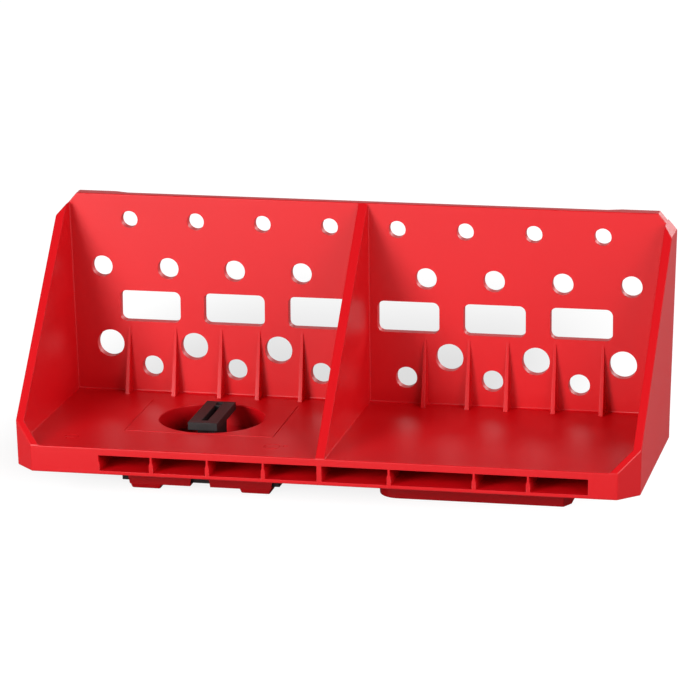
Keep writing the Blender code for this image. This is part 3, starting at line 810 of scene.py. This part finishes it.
def nub_edges(place, edge):
    """A nub's corners and foot, but not the end that is sunk into the tray."""
    return place.z + floor_level < tray_bottom


def foot_left():
    body = bmesh.new()
    outlines = []
    for height, inset in ((tray_bottom, tray_draft), (tray_top, 0)):
        half = skirt_half - Vector((inset, inset))
        outlines.append([Vector((housing_x + sx * half.x, housing_y + sy * half.y, height))
                         for sx, sy in ((-1, -1), (1, -1), (1, 1), (-1, 1))])
    grow(body, outlines[0], outlines[1])
    round_edges(body, tray_corners, foot_edge)
    feet = nubs()
    round_edges(feet, nub_edges, foot_edge)
    inner = skirt_half - Vector((skirt_wall, skirt_wall))
    steps = [("UNION", feet), ("DIFFERENCE", tray_notches()),
             ("DIFFERENCE", housing_block(inner, (tray_floor_top, tray_top + weld))),
             ("DIFFERENCE", ear_openings((tray_floor_top, tray_top + weld)))]
    body = combined("foot_left", body, steps + screw_holes(boss_places, 0, tray_floor_top))
    made = finished("foot_left_tray", body)
    made.data.materials.append(red_finish)
    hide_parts("foot_left")
    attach(made, "rack")


foot_left()

# The right foot is a plain red cup under the other bay, rounded at its inner corners and chamfered
# at its outer ones. Four screws from below hold it to bosses under the floor plate.
pad_centre = 0.1095
pad_half_width = 0.0795
pad_front = front + 0.0605
pad_length = 0.0745
pad_top = 0.0257
pad_floor = 0.004
pad_wall = 0.0025
pad_draft = 0.0015
pad_round = 0.019
pad_chamfer = Vector((0.005, 0.0097))
pad_steps = 14


def pad_outline(inset, height):
    left, right = pad_centre - pad_half_width + inset, pad_centre + pad_half_width - inset
    near, far = pad_front + inset, pad_front + pad_length - inset
    curve = pad_round - inset
    plan = [(right - pad_chamfer.x, near), (right, near + pad_chamfer.y), (right, far - pad_chamfer.y),
            (right - pad_chamfer.x, far)]
    turns = [math.pi / 2 * step / pad_steps for step in range(pad_steps + 1)]
    plan += [(left + curve - curve * math.sin(turn), far - curve + curve * math.cos(turn)) for turn in turns]
    plan += [(left + curve - curve * math.cos(turn), near + curve - curve * math.sin(turn)) for turn in turns]
    return [Vector((x, y, height)) for x, y in plan]


def pad_edges(place, edge):
    """All edges of the cup but its hidden upper rim."""
    return place.z + floor_level < pad_top - weld


def foot_right():
    body = bmesh.new()
    grow(body, pad_outline(pad_draft, 0), pad_outline(0, pad_top))
    bmesh.ops.recalc_face_normals(body, faces=body.faces)
    round_edges(body, pad_edges, edge_radius)
    hollow = bmesh.new()
    grow(hollow, pad_outline(pad_wall + pad_draft, pad_floor), pad_outline(pad_wall, pad_top + weld))
    body = combined("foot_right", body, [("DIFFERENCE", hollow)] + screw_holes(pad_bosses, 0, pad_floor))
    made = finished("foot_right_cup", body)
    made.data.materials.append(red_finish)
    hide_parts("foot_right")
    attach(made, "rack")


foot_right()

# The locking plate is black glass-filled nylon. Its four ears stand out at the sides of the left
# foot and catch in the wall plate; pulling the bar lifts the plate and frees them.
latch_low, latch_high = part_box("latch_plate")
ear_tip = Vector((0.0649, 0.0415))
ear_root = Vector((0.056, 0.0185))
boss_clearance = 0.0048
bar_screw_places = [(housing_x, housing_y + y) for y in (-0.013, 0.013)]
latch_edge = 0.0004
black = (0.0085, 0.0062, 0.0066, 1)
worn_black = (0.024, 0.021, 0.022, 1)


def matt_black():
    """Black nylon: matt, faintly mottled, with a fine moulded grain and paler rubbed spots."""
    material, tree, shader, place = start_material("matt_black")
    cloud = place.node("ShaderNodeTexNoise", Vector=place, Scale=60.0, Detail=3.0)
    grain = place.node("ShaderNodeTexNoise", Vector=place, Scale=3200.0, Detail=2.0)
    colour = (cloud * cloud).mixed(black, worn_black)
    tree.links.new(colour.socket, shader.inputs["Base Color"])
    tree.links.new((0.50 + 0.12 * cloud + 0.06 * grain).socket, shader.inputs["Roughness"])
    bump = place.node("ShaderNodeBump", Height=grain, Strength=0.12, Distance=0.0001)
    tree.links.new(bump.socket, shader.inputs["Normal"])
    return material


black_finish = matt_black()


def latch_plate():
    body = bmesh.new()
    quarter = [(ear_tip.x, ear_tip.y), (ear_tip.x, ear_root.y), (ear_root.x, ear_root.y)]
    right = quarter + [(x, -y) for x, y in reversed(quarter)]
    plan = right + [(-x, -y) for x, y in right]
    lower, upper = [[Vector((housing_x + x, housing_y + y, height)) for x, y in plan]
                    for height in (latch_low.z, latch_high.z)]
    grow(body, lower, upper)
    bmesh.ops.recalc_face_normals(body, faces=body.faces)
    round_edges(body, seen_edges, latch_edge)
    clearances = upright_bars(bmesh.new(), boss_places, boss_clearance, (0, latch_high.z + weld),
                              fine_sides // 2)
    steps = [("DIFFERENCE", clearances)] + screw_holes(bar_screw_places, latch_low.z, latch_high.z)
    made = finished("latch_locking_plate", combined("latch_plate", body, steps))
    made.data.materials.append(black_finish)
    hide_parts("latch_plate")
    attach(made, "latch")


latch_plate()

# The pull bar is black nylon too. It stands in the well on a stem that two screws hold to the
# locking plate, and a long slot with a thin web near its rear end lightens it.
bar_low, bar_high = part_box("finger_bar")
bar_half = Vector((0.0121, 0.0321))
bar_thickness = 0.0065
bar_underside = bar_high.z - bar_thickness
stem_half = Vector((0.007, 0.020))
slot_half_width = 0.0025
slot_range = (-0.0248, 0.0199)
pocket_range = (0.0214, 0.0283)
stem_pocket_half = 0.017
stem_pocket_depth = 0.012
bar_edge = 0.00045


def bar_cut(y_range, levels):
    bm = bmesh.new()
    middle = (housing_x, housing_y + sum(y_range) / 2)
    upright_block(bm, middle, (slot_half_width, (y_range[1] - y_range[0]) / 2), levels)
    return bm


def finger_bar():
    body = housing_block(bar_half, (bar_underside, bar_high.z))
    bmesh.ops.recalc_face_normals(body, faces=body.faces)
    round_edges(body, seen_edges, bar_edge)
    above = bar_high.z + weld
    stem = housing_block(stem_half, (bar_low.z, bar_underside + weld))
    pilots = upright_bars(bmesh.new(), bar_screw_places, pilot_radius, (0, bar_low.z + pilot_depth),
                          fine_sides // 2)
    pocket = bar_cut((-stem_pocket_half, stem_pocket_half),
                     (bar_high.z - stem_pocket_depth, bar_underside + weld))
    steps = [("UNION", stem), ("DIFFERENCE", bar_cut(slot_range, (bar_underside, above))),
             ("DIFFERENCE", bar_cut(pocket_range, (bar_underside - weld, above))),
             ("DIFFERENCE", pocket), ("DIFFERENCE", pilots)]
    body = combined("finger_bar", body, steps)

    def slot_rim(place, edge):
        across = abs(place.x - housing_x)
        return place.z > bar_high.z - floor_level - weld / 4 and across < slot_half_width + weld / 4

    round_edges(body, slot_rim, bar_edge / 2, segments=2)
    made = finished("pull_bar", body)
    made.data.materials.append(black_finish)
    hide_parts("finger_bar")
    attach(made, "latch")


finger_bar()

# Two compression springs of zinc-plated wire sit over posts under the housing's flange and press
# the locking plate down. Each is one wire, wound round the post.
coil_radius = 0.00355
wire_radius = 0.00042
coil_turns = 9
turn_steps = 28
wire_sides = 10
coil_low = latch_high.z + seam + wire_radius
coil_high = floor_level - flange_thickness - seam - wire_radius
coil_travel = 0.008
zinc = (0.60, 0.61, 0.63, 1)
dull_zinc = (0.40, 0.41, 0.42, 1)


def zinc_plate():
    """Zinc-plated steel: bright, with faint duller clouds and drawing marks."""
    material, tree, shader, place = start_material("zinc_plate")
    cloud = place.node("ShaderNodeTexNoise", Vector=place, Scale=420.0, Detail=3.0)
    marks = place.node("ShaderNodeTexNoise", Vector=place, Scale=5200.0, Detail=1.0)
    tree.links.new(cloud.mixed(zinc, dull_zinc).socket, shader.inputs["Base Color"])
    tree.links.new((0.24 + 0.18 * cloud).socket, shader.inputs["Roughness"])
    shader.inputs["Metallic"].default_value = 1
    bump = place.node("ShaderNodeBump", Height=marks, Strength=0.05, Distance=0.0001)
    tree.links.new(bump.socket, shader.inputs["Normal"])
    return material


zinc_finish = zinc_plate()


def latch_spring(name, side):
    bm = bmesh.new()
    centre = Vector((housing_x + side * post_reach, housing_y, coil_low))
    wire = bmesh.ops.create_circle(bm, cap_ends=False, segments=wire_sides, radius=wire_radius,
                                   matrix=Matrix.Translation(centre + Vector((coil_radius, 0, 0)))
                                   @ Matrix.Rotation(math.pi / 2, 4, "X"))["verts"]
    steps = coil_turns * turn_steps
    rise = Vector((0, 0, (coil_high - coil_low) / steps))
    ring = wire + list({edge for vert in wire for edge in vert.link_edges})
    bmesh.ops.spin(bm, geom=ring, cent=centre, axis=(0, 0, 1), dvec=rise,
                   angle=2 * math.pi * coil_turns, steps=steps)
    ends = [edge for edge in bm.edges if edge.is_boundary]
    bmesh.ops.holes_fill(bm, edges=ends)
    made = finished("latch_spring_coil_" + name, bm)
    made.data.materials.append(zinc_finish)
    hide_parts("latch_spring_" + name)
    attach(made, "rack")
    fixed_end = coil_high + wire_radius
    length = fixed_end - coil_low + wire_radius
    (length - coil_travel) / length
    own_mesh(made)


latch_spring("left", -1)
latch_spring("right", 1)

# Ten pan-head screws of zinc-plated steel, each with a cross recess: four in the left foot, four
# in the right one and two that hold the pull bar's stem to the locking plate.
head_radius = 0.0029
head_height = 0.002
head_crown = 0.0006
crown_turn = 0.35
crown_steps = 5
shank_radius = 0.0014
shank_length = 0.014
recess_half_width = 0.0005
recess_half_span = 0.0017
recess_depth = 0.0011
head_turns = 28


def screw(node, place, foot, body_name):
    bm = bmesh.new()
    tip = foot + head_height + shank_length
    turns = [crown_turn * step for step in range(crown_steps)] + [math.pi / 2]
    crown = [(head_radius * math.sin(turn), foot + head_crown * (1 - math.cos(turn))) for turn in turns]
    profile = crown + [(head_radius, foot + head_height), (shank_radius, foot + head_height),
                       (shank_radius, tip - shank_radius), (0, tip)]
    chain = [bm.verts.new((place[0] + radius, place[1], height)) for radius, height in profile]
    edges = [bm.edges.new(pair) for pair in zip(chain, chain[1:])]
    bmesh.ops.spin(bm, geom=chain + edges, cent=(place[0], place[1], 0), axis=(0, 0, 1),
                   angle=2 * math.pi, steps=head_turns, use_merge=True)
    bmesh.ops.remove_doubles(bm, verts=bm.verts, dist=shank_radius / 100)
    cross = []
    for half in ((recess_half_span, recess_half_width), (recess_half_width, recess_half_span)):
        arm = bmesh.new()
        upright_block(arm, place, half, (foot - weld, foot + recess_depth))
        cross.append(("DIFFERENCE", arm))
    made = finished(node + "_turned", combined(node, bm, cross))
    made.data.materials.append(zinc_finish)
    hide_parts(node)
    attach(made, body_name)


for number, place in enumerate(boss_places, 1):
    screw("foot_left_screw_%d" % number, place, seam, "rack")
for number, place in enumerate(pad_bosses, 1):
    screw("foot_right_screw_%d" % number, place, seam, "rack")
screw("bar_screw_front", bar_screw_places[0], latch_low.z + seam, "latch")
screw("bar_screw_rear", bar_screw_places[1], latch_low.z + seam, "latch")

# Plain pale floor and studio light: soft panels at both sides of the front, weaker ones behind and
# above, a low card before the rack and a dim even surround. The camera sees floor and surround as
# white, with a painted shadow on the floor behind the rack.
floor_colour = (0.40, 0.40, 0.40, 1)
surround = 0.05
mirror_surround = 0.10
shadow_share = 0.35
open_floor = 1.5
# rear_shade and the shade_ values below set the painted shadow on the floor behind the rack.
rear_shade = 0.34
shade_centre = -0.08
shade_edges = (0.10, 0.30)
shade_start = (-0.08, 0.08)
shade_end = (0.28, 0.85)
floor_half = 12


def add_floor():
    """Pale floor that the camera sees as white, with the rack's soft shadow and a painted shadow behind."""
    bm = bmesh.new()
    bmesh.ops.create_grid(bm, x_segments=1, y_segments=1, size=floor_half)
    ground = as_object("studio_floor", bm)
    material, tree, shader, place = start_material("studio_floor")
    shader.inputs["Base Color"].default_value = floor_colour
    shader.inputs["Roughness"].default_value = 0.9
    shader.inputs["Specular IOR Level"].default_value = 0.1
    rays = place.node("ShaderNodeLightPath")
    seen = Wire(tree, rays.socket.node.outputs["Is Camera Ray"])
    axes = place.node("ShaderNodeSeparateXYZ", Vector=place).socket.node.outputs
    # Painted shadow: the white that the camera sees is dimmed to grey in a soft area behind the rack.
    off_centre = Wire(tree, axes["X"]) - shade_centre
    across = off_centre.maths("ABSOLUTE", off_centre, 0).eased(*shade_edges, 1.0, 0.0)
    depth = Wire(tree, axes["Y"])
    painted_shadow = across * depth.eased(*shade_end, 1.0, 0.0) * depth.eased(*shade_start, 0.0, 1.0)
    strength = open_floor - open_floor * rear_shade * painted_shadow
    white = place.node("ShaderNodeEmission", Color=(1, 1, 1, 1), Strength=strength)
    mix = tree.nodes.new("ShaderNodeMixShader")
    tree.links.new((seen * (1 - shadow_share)).socket, mix.inputs[0])
    tree.links.new(shader.outputs[0], mix.inputs[1])
    tree.links.new(white.socket, mix.inputs[2])
    tree.links.new(mix.outputs[0], tree.nodes["Material Output"].inputs["Surface"])
    ground.data.materials.append(material)


def add_lamp(name, place, size, power, aim=(0, 0, 0.08)):
    data = bpy.data.lights.new(name, "AREA")
    data.shape = "RECTANGLE"
    data.size, data.size_y = size
    data.energy = power
    lamp = bpy.data.objects.new(name, data)
    way = Vector(aim) - Vector(place)
    lamp.matrix_world = Matrix.Translation(place) @ way.to_track_quat("-Z", "Y").to_matrix().to_4x4()
    bpy.context.scene.collection.objects.link(lamp)


def add_world():
    """Even surround: white to the camera, dimmer as light, a little brighter in reflections."""
    world = bpy.data.worlds.new("studio")
    bpy.context.scene.world = world
    world.use_nodes = True
    tree = world.node_tree
    background = tree.nodes["Background"]
    rays = tree.nodes.new("ShaderNodeLightPath")
    seen = Wire(tree, rays.outputs["Is Camera Ray"])
    mirrored = Wire(tree, rays.outputs["Is Glossy Ray"])
    strength = surround + (1 - surround) * seen + (mirror_surround - surround) * mirrored
    background.inputs["Color"].default_value = (1, 1, 1, 1)
    tree.links.new(strength.socket, background.inputs["Strength"])


add_floor()
add_world()
add_lamp("left_panel", (-1.32, -1.86, 0.88), (1.0, 0.8), 46)
add_lamp("low_left_panel", (-1.36, -1.94, 0.50), (1.0, 0.8), 8)
add_lamp("right_panel", (1.50, -1.50, 1.10), (1.0, 0.8), 20.5)
add_lamp("low_right_panel", (2.30, -0.60, 0.95), (1.2, 0.9), 18)
add_lamp("rear_panel", (1.35, 1.85, 0.95), (1.8, 1.0), 22)
add_lamp("rear_low_panel", (0.0, 2.3, 0.55), (2.4, 0.7), 4.5)
add_lamp("top_panel", (0.2, 0.95, 1.75), (1.2, 0.8), 4)
add_lamp("front_card", (0, -1.05, 0.02), (2.2, 0.9), 9, aim=(0, -1.0, 1))
bpy.context.scene.view_settings.view_transform = "Standard"
